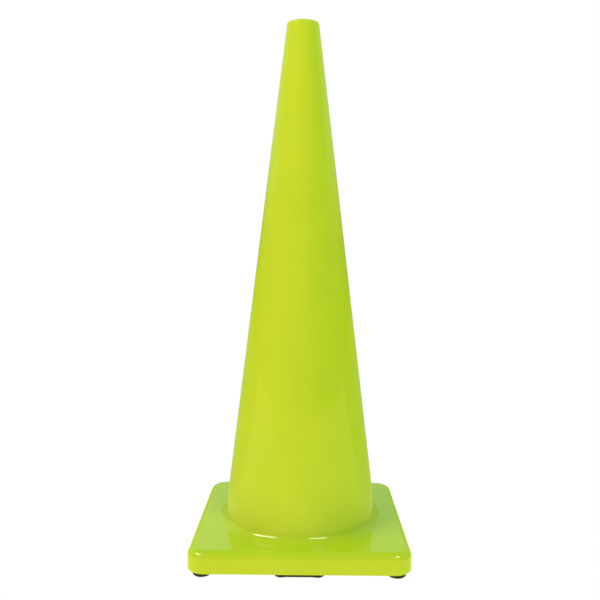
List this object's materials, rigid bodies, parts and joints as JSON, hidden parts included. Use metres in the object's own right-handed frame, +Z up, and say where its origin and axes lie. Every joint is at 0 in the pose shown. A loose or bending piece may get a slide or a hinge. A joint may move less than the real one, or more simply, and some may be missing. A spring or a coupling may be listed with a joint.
{
  "type": "traffic cone",
  "caption": "Tall one-colour safety cone: a hollow tapered shell on a rounded square base with a hidden ballast ring and low rubber feet.",
  "frame": {"origin": "on the floor under the cone's axis, at the middle of the square base", "axes": "+Z up along the cone's axis; the sides of the base lie along X and Y, and the front faces -Y"},
  "size_m": [0.3556, 0.3556, 0.9144],
  "materials": {
    "lime_pvc": "glossy moulded flexible PVC, fluorescent lime",
    "recycled_pvc": "dull black recycled PVC, moulded",
    "black_rubber": "smooth black rubber, slightly glossy"
  },
  "bodies": {
    "root": {"cone_shell": "lime_pvc", "base_ballast": "recycled_pvc", "corner_foot_front_left": "black_rubber", "corner_foot_front_right": "black_rubber", "corner_foot_back_right": "black_rubber", "corner_foot_back_left": "black_rubber", "side_foot_front": "black_rubber", "side_foot_right": "black_rubber", "side_foot_back": "black_rubber", "side_foot_left": "black_rubber"}
  },
  "joints": []
}
